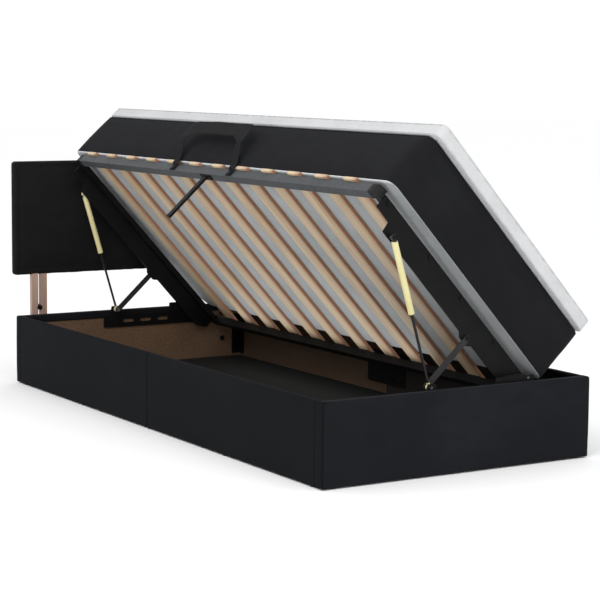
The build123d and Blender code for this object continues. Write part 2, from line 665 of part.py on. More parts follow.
# ---------------------------------------------------------------- mattress and topper
with BuildPart() as mattress:
    with BuildSketch(lid_layer(0)):
        with Locations((mat_w / 2, mat_y0 + mat_l / 2)):
            Rectangle(mat_w, mat_l)
        # the far head corner is blunter, to clear the head panel
        corners = vertices().sort_by(Axis.Y)
        tip = corners[2:].sort_by(Axis.X)[-1]
        fillet([v for v in corners if v != tip], 30.0)
        tip = vertices().sort_by(lambda v: -v.X - v.Y)[0]
        fillet(tip, 56.0)
    extrude(amount=mat_t)
    low = [e for e in mattress.edges() if abs((e.center() - lid_layer(0).origin).dot(lid_layer(0).z_dir)) < 0.1]
    fillet(low, 6.0)
    # the spring core is left out: the walls are the padding
    with BuildSketch(lid_layer(26.0)):
        with Locations((mat_w / 2, mat_y0 + mat_l / 2)):
            Rectangle(mat_w - 60.0, mat_l - 60.0)
    extrude(amount=mat_t - 52.0, mode=Mode.SUBTRACT)
mattress.part.label = "mattress"
export_step(mattress.part, "parts/mattress.step")

with BuildPart() as topper:
    with BuildSketch(lid_layer(mat_t + 0.3)):
        with Locations((top_a0 + top_w / 2, top_y0 + top_l / 2)):
            RectangleRounded(top_w, top_l, 22.0)
    extrude(amount=top_t)
    fillet(topper.faces().sort_by(Axis.Z)[-1].edges(), 8.0)
    with BuildSketch(lid_layer(mat_t + 10.0)):
        with Locations((top_a0 + top_w / 2, top_y0 + top_l / 2)):
            Rectangle(top_w - 30.0, top_l - 30.0)
    extrude(amount=top_t - 20.0, mode=Mode.SUBTRACT)
topper.part.label = "topper"
export_step(topper.part, "parts/topper.step")
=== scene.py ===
import math

import bmesh
import bpy
import numpy as np
from mathutils import Matrix, Vector, noise


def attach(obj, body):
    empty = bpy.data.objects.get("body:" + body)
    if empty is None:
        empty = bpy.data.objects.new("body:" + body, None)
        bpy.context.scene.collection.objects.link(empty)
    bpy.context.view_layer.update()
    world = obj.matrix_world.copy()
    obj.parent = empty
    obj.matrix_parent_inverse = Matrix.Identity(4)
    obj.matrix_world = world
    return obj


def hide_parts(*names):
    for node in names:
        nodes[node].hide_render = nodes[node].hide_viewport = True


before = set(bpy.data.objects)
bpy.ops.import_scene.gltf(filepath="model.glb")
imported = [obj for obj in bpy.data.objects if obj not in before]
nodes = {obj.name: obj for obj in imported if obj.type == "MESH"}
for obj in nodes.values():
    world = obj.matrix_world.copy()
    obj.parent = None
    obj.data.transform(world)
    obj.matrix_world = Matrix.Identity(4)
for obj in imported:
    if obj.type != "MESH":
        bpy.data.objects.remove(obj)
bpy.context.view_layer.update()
scene = bpy.context.scene
scene.view_settings.view_transform = "Standard"
scene.view_settings.look = "None"
scene.view_settings.exposure = 0.0
scene.view_settings.gamma = 1.0

# ------------------------------------------------------------------ the lid's own axes
TILT = math.radians(47.5)
LID_X, LID_Z = -0.2354, 0.8235
CT, ST = math.cos(TILT), math.sin(TILT)
LID = Matrix(((CT, 0, ST, LID_X), (0, 1, 0, 0), (-ST, 0, CT, LID_Z), (0, 0, 0, 1)))


def to_lid(points):
    """Points (a, Y, b) of the lid, in the row frame."""
    p = np.asarray(points, float)
    return np.stack([LID_X + p[:, 0] * CT + p[:, 2] * ST, p[:, 1], LID_Z - p[:, 0] * ST + p[:, 2] * CT], axis=1)


# ------------------------------------------------------------------ materials
def srgb(r, g, b):
    def lin(c):
        c /= 255.0
        return c / 12.92 if c <= 0.04045 else ((c + 0.055) / 1.055) ** 2.4

    return (lin(r), lin(g), lin(b), 1.0)


class Mat:
    """A node material built step by step."""

    def __init__(self, name, roughness=0.6, metallic=0.0, specular=0.5):
        self.m = bpy.data.materials.new(name)
        self.m.use_nodes = True
        self.t = self.m.node_tree
        self.t.nodes.clear()
        self.out = self.new("ShaderNodeOutputMaterial")
        self.b = self.new("ShaderNodeBsdfPrincipled")
        self.b.inputs["Roughness"].default_value = roughness
        self.b.inputs["Metallic"].default_value = metallic
        self.b.inputs["Specular IOR Level"].default_value = specular
        self.link(self.b.outputs[0], self.out.inputs[0])
        self.co = self.new("ShaderNodeTexCoord").outputs["Object"]

    def new(self, kind):
        return self.t.nodes.new(kind)

    def link(self, a, b):
        self.t.links.new(a, b)

    def coat(self, weight, rough):
        self.b.inputs["Coat Weight"].default_value = weight
        self.b.inputs["Coat Roughness"].default_value = rough

    def sheen(self, weight, rough, tint):
        self.b.inputs["Sheen Weight"].default_value = weight
        self.b.inputs["Sheen Roughness"].default_value = rough
        self.b.inputs["Sheen Tint"].default_value = tint

    def mapped(self, scale=(1, 1, 1), rotation=(0, 0, 0), location=(0, 0, 0)):
        n = self.new("ShaderNodeMapping")
        n.inputs["Scale"].default_value = scale
        n.inputs["Rotation"].default_value = rotation
        n.inputs["Location"].default_value = location
        self.link(self.co, n.inputs["Vector"])
        return n.outputs[0]

    def chain(self, vector, scale=(1, 1, 1)):
        n = self.new("ShaderNodeMapping")
        n.inputs["Scale"].default_value = scale
        self.link(vector, n.inputs["Vector"])
        return n.outputs[0]

    def noise(self, scale, detail=3.0, rough=0.5, vector=None, distortion=0.0):
        n = self.new("ShaderNodeTexNoise")
        n.inputs["Scale"].default_value = scale
        n.inputs["Detail"].default_value = detail
        n.inputs["Roughness"].default_value = rough
        n.inputs["Distortion"].default_value = distortion
        self.link(vector if vector is not None else self.co, n.inputs["Vector"])
        return n.outputs["Fac"]

    def wave(self, scale, direction="X", vector=None, distortion=0.0, profile="SIN"):
        n = self.new("ShaderNodeTexWave")
        n.wave_type = "BANDS"
        n.bands_direction = direction
        n.wave_profile = profile
        n.inputs["Scale"].default_value = scale
        n.inputs["Distortion"].default_value = distortion
        self.link(vector if vector is not None else self.co, n.inputs["Vector"])
        return n.outputs["Fac"]

    def voronoi(self, scale, vector=None, feature="F1"):
        n = self.new("ShaderNodeTexVoronoi")
        n.feature = feature
        n.inputs["Scale"].default_value = scale
        self.link(vector if vector is not None else self.co, n.inputs["Vector"])
        return n.outputs["Distance"]

    def ramp(self, fac, stops):
        n = self.new("ShaderNodeValToRGB")
        e = n.color_ramp.elements
        while len(e) < len(stops):
            e.new(0.5)
        for el, (p, c) in zip(e, stops):
            el.position = p
            el.color = c
        self.link(fac, n.inputs["Fac"])
        return n.outputs["Color"]

    def map(self, value, a, b, c, d):
        n = self.new("ShaderNodeMapRange")
        for k, v in zip(("From Min", "From Max", "To Min", "To Max"), (a, b, c, d)):
            n.inputs[k].default_value = v
        self.link(value, n.inputs["Value"])
        return n.outputs[0]

    def math(self, op, a, b=None, value=None):
        n = self.new("ShaderNodeMath")
        n.operation = op
        self.link(a, n.inputs[0])
        if b is not None:
            self.link(b, n.inputs[1])
        if value is not None:
            n.inputs[1].default_value = value
        return n.outputs[0]

    def mix(self, fac, a, b, mode="MIX"):
        n = self.new("ShaderNodeMix")
        n.data_type = "RGBA"
        n.blend_type = mode
        for sock, v in ((n.inputs[0], fac), (n.inputs[6], a), (n.inputs[7], b)):
            if hasattr(v, "is_output"):
                self.link(v, sock)
            else:
                sock.default_value = v
        return n.outputs[2]

    def colour(self, c):
        self.link(c, self.b.inputs["Base Color"])

    def rough(self, v):
        self.link(v, self.b.inputs["Roughness"])

    def bump(self, height, distance, strength=1.0, after=None):
        n = self.new("ShaderNodeBump")
        n.inputs["Distance"].default_value = distance
        n.inputs["Strength"].default_value = strength
        self.link(height, n.inputs["Height"])
        if after is not None:
            self.link(after, n.inputs["Normal"])
        self.link(n.outputs[0], self.b.inputs["Normal"])
        return n.outputs[0]

    def separate(self, vector):
        n = self.new("ShaderNodeSeparateXYZ")
        self.link(vector, n.inputs[0])
        return n.outputs


def velvet(name, dark, mid, light, sheen=0.35, rotation=(0, 0, 0)):
    m = Mat(name, roughness=0.95, specular=0.08)
    v = m.mapped(rotation=rotation)
    cloud = m.noise(3.2, 3, 0.55, v)
    streak = m.noise(1.0, 4, 0.6, m.chain(v, (9, 9, 26)), distortion=0.6)
    nap = m.mix(0.4, cloud, streak)
    c = m.ramp(nap, [(0.30, dark), (0.52, mid), (0.75, light)])
    grain = m.noise(1400, 2, 0.7)
    c = m.mix(m.map(grain, 0.3, 0.7, 0.0, 0.35), c, light)
    m.colour(c)
    m.sheen(sheen, 0.38, (0.62, 0.66, 0.74, 1))
    b = m.bump(m.noise(900, 2, 0.6), 0.0005, 0.6)
    m.bump(m.noise(22, 4, 0.6, v), 0.0022, 0.35, after=b)
    return m.m


box_velvet = velvet("box_velvet", srgb(13, 14, 16), srgb(17, 18, 20), srgb(22, 23, 26), sheen=0.03)
end_velvet = velvet("end_velvet", srgb(20, 21, 23), srgb(24, 25, 28), srgb(31, 32, 36), sheen=0.05)
head_velvet = velvet("head_velvet", srgb(17, 17, 18), srgb(23, 23, 24), srgb(29, 29, 31), sheen=0.03)
mattress_velvet = velvet("mattress_velvet", srgb(21, 21, 23), srgb(25, 25, 28), srgb(31, 32, 35), sheen=0.04,
                         rotation=(0, -TILT, 0))


def anti_slip():
    m = Mat("mattress_underside", roughness=0.95, specular=0.2)
    v = m.mapped(rotation=(0, -TILT, 0))
    cloud = m.noise(7, 4, 0.6, v)
    c = m.ramp(cloud, [(0.3, srgb(152, 156, 157)), (0.7, srgb(170, 173, 175))])
    dots = m.voronoi(1.0, m.chain(v, (220, 220, 40)))
    c = m.mix(m.map(dots, 0.12, 0.30, 0.5, 0.0), c, srgb(187, 189, 190))
    # painted highlight: white along the long side that opens, where the light catches the edge
    place = m.separate(v)
    c = m.mix(m.map(place[0], -0.762, -0.750, 1.0, 0.0), c, srgb(236, 237, 239))
    # painted shade: greyer round the foot end
    c = m.mix(m.map(place[1], -1.000, -0.930, 0.26, 0.0), c, srgb(112, 114, 116))
    m.colour(c)
    m.sheen(0.1, 0.5, (0.9, 0.9, 0.9, 1))
    b = m.bump(dots, 0.0006, 0.5)
    m.bump(m.noise(30, 3, 0.5, v), 0.002, 0.5, after=b)
    return m.m


def knit():
    m = Mat("topper_knit", roughness=0.9, specular=0.25)
    v = m.mapped(rotation=(0, -TILT, 0))
    cloud = m.noise(5, 4, 0.6, v)
    c = m.ramp(cloud, [(0.25, srgb(188, 189, 190)), (0.75, srgb(202, 203, 204))])
    # painted shade: darker streaks that stand in for the shade in the cover's folds
    painted_fold_shade = m.noise(1.0, 4, 0.65, m.chain(v, (40, 7, 90)), distortion=0.4)
    c = m.mix(m.map(painted_fold_shade, 0.45, 0.75, 0.0, 0.28), c, srgb(172, 173, 175))
    m.colour(c)
    m.sheen(0.05, 0.5, (1, 1, 1, 1))
    loops = m.mix(0.5, m.wave(360, "Y", v), m.wave(300, "X", m.chain(v, (1, 1, 1))))
    b = m.bump(loops, 0.0004, 0.4)
    m.bump(m.noise(45, 3, 0.5, v), 0.002, 0.25, after=b)
    return m.m


def webbing():
    m = Mat("strap_webbing", roughness=0.85, specular=0.12)
    v = m.mapped(rotation=(0, -TILT, 0))
    rib = m.wave(420, "Y", v, profile="TRI")
    c = m.ramp(rib, [(0.2, srgb(12, 13, 14)), (0.8, srgb(20, 20, 22))])
    m.colour(c)
    m.sheen(0.05, 0.4, (0.7, 0.7, 0.75, 1))
    b = m.bump(rib, 0.0007, 0.6)
    m.bump(m.noise(700, 2, 0.6), 0.0003, 0.5, after=b)
    return m.m


def slat_wood():
    m = Mat("slat_beech", roughness=0.5, specular=0.35)
    v = m.mapped(rotation=(0, -TILT, 0))
    warp = m.noise(1.0, 4, 0.55, m.chain(v, (2.2, 34, 34)), distortion=1.2)
    c = m.ramp(warp, [(0.28, srgb(180, 156, 127)), (0.5, srgb(200, 177, 146)), (0.74, srgb(213, 193, 163))])
    pores = m.noise(1.0, 3, 0.7, m.chain(v, (60, 900, 900)))
    c = m.mix(m.map(pores, 0.55, 0.75, 0.0, 0.4), c, srgb(140, 112, 82))
    # the long edges show the glued, stained layers
    n = m.new("ShaderNodeTexCoord")
    side = m.math("ABSOLUTE", m.separate(n.outputs["Normal"])[1])
    ply = m.wave(1.0, "Z", m.chain(v, (1, 1, 150)), distortion=0.3)
    edge = m.ramp(ply, [(0.25, srgb(146, 104, 78)), (0.75, srgb(172, 128, 100))])
    # a brown band on the foot-side edge of the face: partly the stain running round that edge, partly painted shade
    across = m.separate(n.outputs["Generated"])[1]
    c = m.mix(m.map(across, 0.02, 0.42, 0.75, 0.0), c, srgb(160, 116, 88))
    c = m.mix(m.map(side, 0.25, 0.55, 0.0, 1.0), c, edge)
    m.colour(c)
    m.rough(m.map(warp, 0.2, 0.8, 0.42, 0.6))
    m.bump(pores, 0.0003, 0.35)
    return m.m


def leg_wood():
    m = Mat("leg_beech", roughness=0.5, specular=0.35)
    v = m.mapped()
    warp = m.noise(1.0, 4, 0.55, m.chain(v, (40, 40, 2.5)), distortion=1.0)
    c = m.ramp(warp, [(0.28, srgb(146, 118, 102)), (0.5, srgb(163, 135, 119)), (0.74, srgb(178, 151, 135))])
    fleck = m.noise(1.0, 2, 0.6, m.chain(v, (700, 700, 90)))
    c = m.mix(m.map(fleck, 0.58, 0.75, 0.0, 0.45), c, srgb(132, 98, 82))
    m.colour(c)
    m.bump(fleck, 0.0003, 0.4)
    return m.m


def board(name, dark, light, scale=1.0):
    m = Mat(name, roughness=0.8, specular=0.25)
    chips = m.voronoi(240 * scale)
    fine = m.noise(320, 4, 0.7)
    f = m.mix(0.5, chips, fine)
    c = m.ramp(f, [(0.22, dark), (0.45, light), (0.75, dark)])
    c = m.mix(m.map(m.noise(4, 3, 0.5), 0.3, 0.7, 0.0, 0.4), c, dark)
    m.colour(c)
    m.bump(f, 0.0006, 0.5)
    return m.m


def paint(name, dark, light, rough=0.45, bump=0.35, metallic=0.0, scratch=None, specular=0.4, black_ends=False,
          pivot=None, ring=(206, 198, 150)):
    m = Mat(name, roughness=rough, metallic=metallic, specular=specular)
    cloud = m.noise(9, 4, 0.6)
    c = m.ramp(cloud, [(0.3, dark), (0.7, light)])
    if scratch:
        wear = m.noise(1.0, 5, 0.7, m.mapped(scale=(70, 6, 70)), distortion=0.8)
        c = m.mix(m.map(wear, 0.68, 0.8, 0.0, 0.5), c, scratch)
    if black_ends:
        # the rounded corners of the frame are capped in black
        far = m.math("ABSOLUTE", m.separate(m.mapped(location=(0, 0.019, 0)))[1])
        c = m.mix(m.map(far, 0.908, 0.914, 0.0, 1.0), c, srgb(17, 17, 18))
    if pivot:
        # the ring end round the pin has a colour of its own
        axes = m.separate(m.mapped(location=(-pivot[0], 0, -pivot[1])))
        square = m.math("ADD", m.math("MULTIPLY", axes[0], axes[0]), m.math("MULTIPLY", axes[2], axes[2]))
        c = m.mix(m.map(square, 0.013**2, 0.0145**2, 1.0, 0.0), c, srgb(*ring))
    m.colour(c)
    m.rough(m.map(m.noise(60, 3, 0.6), 0.3, 0.7, rough - 0.07, rough + 0.09))
    m.bump(m.noise(1300, 2, 0.5), 0.0002, bump)
    return m.m


def steel(name, dark, light, rough):
    m = Mat(name, roughness=rough, metallic=1.0)
    brushed = m.noise(1.0, 3, 0.6, m.mapped(scale=(1500, 60, 1500)))
    cloud = m.noise(40, 4, 0.6)
    m.colour(m.ramp(m.mix(0.5, brushed, cloud), [(0.3, dark), (0.7, light)]))
    m.rough(m.map(cloud, 0.3, 0.7, rough - 0.08, rough + 0.1))
    m.bump(brushed, 0.0001, 0.3)
    return m.m


underside = anti_slip()
topper_knit = knit()
strap_cloth = webbing()
beech = slat_wood()
leg_beech = leg_wood()
brown_board = board("brown_board", srgb(88, 67, 52), srgb(124, 98, 76))
# painted shade: a darker copy of the brown board for the far panel's head half, in the lid's shadow
far_board_painted_shade = board("far_board_painted_shade", srgb(64, 49, 38), srgb(90, 71, 55))
shaded_board = board("shaded_board", srgb(30, 25, 22), srgb(42, 36, 32))
core_board = board("core_board", srgb(92, 74, 52), srgb(128, 106, 78))
# dark floor panels; on the foot-half boards and the foot end board this dark colour is painted shade over the brown
# board
dark_floor_and_painted_shade = board("dark_floor_and_painted_shade", srgb(16, 17, 17), srgb(27, 28, 28))
black_steel = paint("black_steel", srgb(12, 12, 13), srgb(18, 18, 19), 0.5, specular=0.11)
link_steel = paint("link_steel", srgb(26, 26, 27), srgb(38, 38, 39), 0.5, specular=0.25)
grey_steel = paint("grey_steel", srgb(62, 64, 67), srgb(72, 75, 78), 0.55, scratch=srgb(80, 82, 84), specular=0.2,
                   black_ends=True)
enamel = paint("strut_enamel", srgb(202, 193, 138), srgb(218, 210, 162), 0.35, bump=0.15)
enamel_foot = paint("strut_enamel_foot", srgb(202, 193, 138), srgb(218, 210, 162), 0.35, bump=0.15,
                    pivot=(-0.21245, 0.66820), ring=(20, 20, 20))
black_plastic = paint("black_plastic", srgb(18, 16, 15), srgb(34, 29, 26), 0.6, bump=0.5)
zinc = steel("zinc", srgb(84, 84, 86), srgb(120, 121, 123), 0.5)
black_rod = paint("black_rod", srgb(12, 12, 13), srgb(20, 20, 22), 0.3, bump=0.1, specular=0.25, pivot=(-0.085, 0.245))

finish = {
    # painted shade: the panel boards are all one brown board; the far head half, the foot halves and the foot end board
    # get darker colours for the shade that falls there
    "near_board_head": brown_board, "near_board_foot": dark_floor_and_painted_shade,
    "far_board_head": far_board_painted_shade, "far_board_foot": shaded_board,
    "head_end_board": brown_board, "foot_end_board": dark_floor_and_painted_shade,
    "headboard_core": core_board,
    "floor_panel_foot": dark_floor_and_painted_shade, "floor_panel_head": dark_floor_and_painted_shade, "floor_battens": core_board,
    "floor_glides": black_plastic, "slat_holders": black_plastic,
    "corner_angles": black_steel, "joining_plates": black_steel,
    "base_bracket_foot": black_steel, "base_bracket_head": black_steel,
    "lift_rail_foot": black_steel, "lift_rail_head": black_steel,
    "foot_rail": black_steel, "head_rail": black_steel, "support_leg": black_steel,
    "front_links": link_steel, "rear_links": link_steel,
    "near_rail": grey_steel, "far_rail": black_steel,
    "strut_cylinder_foot": enamel_foot, "strut_cylinder_head": enamel,
    "strut_rod_foot": black_rod, "strut_rod_head": black_rod,
    "lower_pivot_pins": zinc, "upper_pivot_pins": black_steel, "strut_studs": black_steel,
    "rear_link_studs": black_steel, "base_screws": black_steel, "lid_screws": black_steel,
    "headboard_bolts": black_steel, "headboard_legs": leg_beech, "headboard_spacers": leg_beech,
}
for k in range(1, 13):
    finish[f"slat_{k:02d}"] = beech
for name, material in finish.items():
    o = nodes[name]
    if not o.material_slots:
        o.data.materials.append(material)
    for s in o.material_slots:
        s.material = material


# ------------------------------------------------------------------ mesh helpers
def make(name, verts, faces, materials, body, index=None, smooth=True):
    me = bpy.data.meshes.new(name)
    me.from_pydata([tuple(map(float, v)) for v in verts], [], [tuple(map(int, f)) for f in faces])
    me.update()
    ob = bpy.data.objects.new(name, me)
    scene.collection.objects.link(ob)
    for m in materials:
        me.materials.append(m)
    if index is not None:
        me.polygons.foreach_set("material_index", np.asarray(index, np.int32))
    me.polygons.foreach_set("use_smooth", [smooth] * len(me.polygons))
    if body:
        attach(ob, body)
    return ob


def apply_all(ob):
    """Every modifier of ob becomes part of its mesh."""
    dg = bpy.context.evaluated_depsgraph_get()
    me = bpy.data.meshes.new_from_object(ob.evaluated_get(dg), preserve_all_data_layers=True, depsgraph=dg)
    ob.modifiers.clear()
    ob.data = me
    return ob


def coords(ob):
    co = np.zeros(len(ob.data.vertices) * 3)
    ob.data.vertices.foreach_get("co", co)
    return co.reshape(-1, 3)


def put(ob, co):
    ob.data.vertices.foreach_set("co", np.asarray(co, float).ravel())
    ob.data.update()


def normals(ob):
    n = np.zeros(len(ob.data.vertices) * 3)
    ob.data.vertices.foreach_get("normal", n)
    return n.reshape(-1, 3)


def fractal(points, scale, seed=0.0, octaves=3):
    """Smooth noise from -1 to 1 at each point; scale is per metre, one number or one per axis."""
    s = np.ones(3) * np.asarray(scale, float)
    out = np.zeros(len(points))
    for i, p in enumerate(np.asarray(points) * s):
        v, amp, tot = 0.0, 1.0, 0.0
        q = Vector((p[0] + seed, p[1] + seed * 1.7, p[2] - seed))
        for _ in range(octaves):
            v += amp * noise.noise(q)
            tot += amp
            amp *= 0.5
            q = q * 2.03
        out[i] = v / tot
    return out


def ticks(h, step, edge, n_edge, extra=()):
    """Positions from -h to h: close together within `edge` of both ends, about `step` apart between."""
    inner = h - edge
    n = max(2, int(round(2 * inner / step)))
    t = list(np.linspace(-inner, inner, n + 1))
    e = [inner + edge * math.sin(0.5 * math.pi * k / n_edge) for k in range(1, n_edge + 1)]
    t = sorted([-x for x in e] + t + e)
    for x in extra:
        t = [v for v in t if abs(v - x) > 0.0012]
        t.append(x)
    return np.array(sorted(t))


def box_grid(xs, ys, zs):
    """The outer skin of a lattice: vertices (lattice coordinates), quads and each quad's side (0-5)."""
    nx, ny, nz = len(xs) - 1, len(ys) - 1, len(zs) - 1
    ids, verts, faces, side = {}, [], [], []

    def vid(i, j, k):
        key = (i, j, k)
        if key not in ids:
            ids[key] = len(verts)
            verts.append((xs[i], ys[j], zs[k]))
        return ids[key]

    for i in range(nx):
        for j in range(ny):
            faces.append((vid(i, j, 0), vid(i, j + 1, 0), vid(i + 1, j + 1, 0), vid(i + 1, j, 0)))
            faces.append((vid(i, j, nz), vid(i + 1, j, nz), vid(i + 1, j + 1, nz), vid(i, j + 1, nz)))
            side += [4, 5]
    for i in range(nx):
        for k in range(nz):
            faces.append((vid(i, 0, k), vid(i + 1, 0, k), vid(i + 1, 0, k + 1), vid(i, 0, k + 1)))
            faces.append((vid(i, ny, k), vid(i, ny, k + 1), vid(i + 1, ny, k + 1), vid(i + 1, ny, k)))
            side += [2, 3]
    for j in range(ny):
        for k in range(nz):
            faces.append((vid(0, j, k), vid(0, j, k + 1), vid(0, j + 1, k + 1), vid(0, j + 1, k)))
            faces.append((vid(nx, j, k), vid(nx, j + 1, k), vid(nx, j + 1, k + 1), vid(nx, j, k + 1)))
            side += [0, 1]
    return np.array(verts, float), faces, np.array(side)


def round_off(p, hx, hy, hz, corner, low, high, blunt=0.0):
    """Rounds a box grid: upright corners with radius corner (the one at +x +y with blunt), lower and upper edges."""
    x, y, z = p[:, 0].copy(), p[:, 1].copy(), p[:, 2].copy()
    d = np.minimum(hx - np.abs(x), hy - np.abs(y))
    dn, zn = d.copy(), z.copy()
    for sign, r in ((-1, low), (1, high)):
        e = hz - sign * z
        m = (d < r) & (e < r)
        u, v = 1 - d[m] / r, 1 - e[m] / r
        length = np.hypot(u, v)
        top = np.maximum(u, v)
        u, v = u * top / length, v * top / length
        dn[m] = r * (1 - u)
        zn[m] = sign * (hz - r * (1 - v))
    fx = (hx - dn) / np.maximum(hx - d, 1e-9)
    fy = (hy - dn) / np.maximum(hy - d, 1e-9)
    x, y = x * fx, y * fy
    for sx in (-1, 1):
        for sy in (-1, 1):
            rad = blunt if (sx > 0 and sy > 0 and blunt) else corner
            cx, cy = hx - rad, hy - rad
            m = (sx * x > cx) & (sy * y > cy)
            u, v = (sx * x[m] - cx) / rad, (sy * y[m] - cy) / rad
            f = np.maximum(u, v) / np.maximum(np.hypot(u, v), 1e-9)
            x[m] = sx * (cx + u * f * rad)
            y[m] = sy * (cy + v * f * rad)
    return np.stack([x, y, zn], axis=1)


def loop_tube(name, path, radius, material, body, n=8, closed=True):
    """A thin cord along a path, used for piping and stitched seams."""
    p = np.asarray(path, float)
    m = len(p)
    nxt, prv = np.roll(p, -1, 0), np.roll(p, 1, 0)
    if not closed:
        nxt[-1], prv[0] = p[-1] + (p[-1] - p[-2]), p[0] - (p[1] - p[0])
    t = nxt - prv
    t /= np.linalg.norm(t, axis=1)[:, None]
    ref = np.tile(np.array([0.31, 0.22, 0.92]), (m, 1))
    a = np.cross(t, ref)
    a /= np.linalg.norm(a, axis=1)[:, None]
    b = np.cross(t, a)
    verts, faces = [], []
    for i in range(m):
        for k in range(n):
            w = 2 * math.pi * k / n
            verts.append(p[i] + radius * (a[i] * math.cos(w) + b[i] * math.sin(w)))
    for i in range(m if closed else m - 1):
        j = (i + 1) % m
        for k in range(n):
            q = (k + 1) % n
            faces.append((i * n + k, j * n + k, j * n + q, i * n + q))
    if not closed:
        faces.append(tuple(range(n))[::-1])
        faces.append(tuple((m - 1) * n + k for k in range(n)))
    return make(name, verts, faces, [material], body)


def outline(hx, hy, r, step=0.02):
    """A rounded rectangle as points, about step apart."""
    pts = []
    for cx, cy, a0 in ((hx - r, hy - r, 0), (-hx + r, hy - r, 90), (-hx + r, -hy + r, 180), (hx - r, -hy + r, 270)):
        for k in range(9):
            a = math.radians(a0 + 90 * k / 8)
            pts.append((cx + r * math.cos(a), cy + r * math.sin(a)))
    out = []
    for i, p in enumerate(pts):
        q = pts[(i + 1) % len(pts)]
        length = math.hypot(q[0] - p[0], q[1] - p[1])
        n = max(1, int(length / step))
        out += [(p[0] + (q[0] - p[0]) * k / n, p[1] + (q[1] - p[1]) * k / n) for k in range(n)]
    return out


def swell(ob, pinned, pressure, cap, shrink=0.0, bending=0.5, frames=20):
    """Blows the cover up with Cloth, holding the pinned vertices (weights 0 to 1), and keeps each move under cap."""
    before = coords(ob)
    g = ob.vertex_groups.new(name="held")
    for i, w in enumerate(pinned):
        if w > 0.001:
            g.add([i], float(w), "REPLACE")
    mod = ob.modifiers.new("cloth", "CLOTH")
    s = mod.settings
    s.quality = 4
    s.mass = 0.25
    s.tension_stiffness = 12
    s.compression_stiffness = 12
    s.shear_stiffness = 5
    s.bending_stiffness = bending
    s.use_pressure = True
    s.uniform_pressure_force = pressure
    s.vertex_group_mass = "held"
    s.pin_stiffness = 1.0
    s.shrink_min = shrink
    s.shrink_max = shrink
    s.effector_weights.gravity = 0.0
    mod.collision_settings.use_collision = False
    mod.collision_settings.use_self_collision = False
    mod.point_cache.frame_start = 1
    mod.point_cache.frame_end = frames
    for f in range(1, frames + 1):
        scene.frame_set(f)
    apply_all(ob)
    scene.frame_set(1)
    ob.vertex_groups.clear()
    move = coords(ob) - before
    size = np.linalg.norm(move, axis=1)[:, None]
    move = move * np.where(size > 1e-9, cap * np.tanh(size / cap) / np.maximum(size, 1e-9), 0)
    put(ob, before + move)


def subdivide(ob, levels=1):
    mod = ob.modifiers.new("subdivision", "SUBSURF")
    mod.levels = mod.render_levels = levels
    mod.boundary_smooth = "PRESERVE_CORNERS"
    apply_all(ob)
    ob.data.polygons.foreach_set("use_smooth", [True] * len(ob.data.polygons))


# ------------------------------------------------------------------ topper
def build_topper():
    hx, hy, hz = 0.392 - 0.0015, 1.0055 - 0.0015, 0.0225 - 0.001
    centre = np.array([0.391, -0.0305, 0.1803 + 0.0225])
    xs, ys = ticks(hx, 0.016, 0.022, 5), ticks(hy, 0.016, 0.022, 5)
    zs = ticks(hz, 0.006, 0.006, 3, extra=(0.0, -0.0016, 0.0016))
    p, faces, side = box_grid(xs, ys, zs)
    flat_z = p[:, 2].copy()
    p = round_off(p, hx, hy, hz, 0.020, 0.004, 0.007)
    ob = make("topper_cover", to_lid(p + centre), faces, [topper_knit], None)
    d = np.minimum(hx - np.abs(p[:, 0]), hy - np.abs(p[:, 1]))
    rim = (np.abs(np.abs(flat_z) - hz) < 1e-6) & (d < 0.010)
    under = (flat_z < -hz + 1e-6) & (d > 0.05)
    swell(ob, np.where(rim, 1.0, np.where(under, 0.6, 0.0)), 3.0, 0.0020, shrink=-0.006, bending=0.2)
    # looser folds on the border and faint dents in the top
    q, n = coords(ob), normals(ob)
    lid = p + centre
    edge = (np.abs(flat_z) < hz - 1e-6).astype(float)
    folds = fractal(np.stack([lid[:, 0], lid[:, 1], lid[:, 2] * 3], 1), (7, 7, 16), 3.1)
    fine = fractal(np.stack([lid[:, 0], lid[:, 1], lid[:, 2] * 4], 1), (30, 26, 30), 9.4)
    shallow = fractal(lid, (4, 4, 4), 5.5)
    move = edge * (0.0012 * folds + 0.0005 * fine) + (1 - edge) * (flat_z > 0) * (0.0018 * shallow + 0.0005 * fine)
    move -= (0.0008 * (np.abs(flat_z) < 1e-6)) * edge
    put(ob, q + n * move[:, None])
    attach(ob, "lid")
    for tag, z, r in (("upper", hz - 0.0046, 0.0012), ("lower", -hz + 0.0030, 0.0013)):
        path = [(x, y, z) for x, y in outline(hx - 0.0004, hy - 0.0004, 0.020)]
        path = to_lid(np.array(path) + centre)
        seam = loop_tube(f"topper_seam_{tag}", path, r, topper_knit, "lid", n=6)
        seam.parent = ob
        seam.matrix_parent_inverse = ob.matrix_world.inverted()
    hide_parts("topper")
    return ob


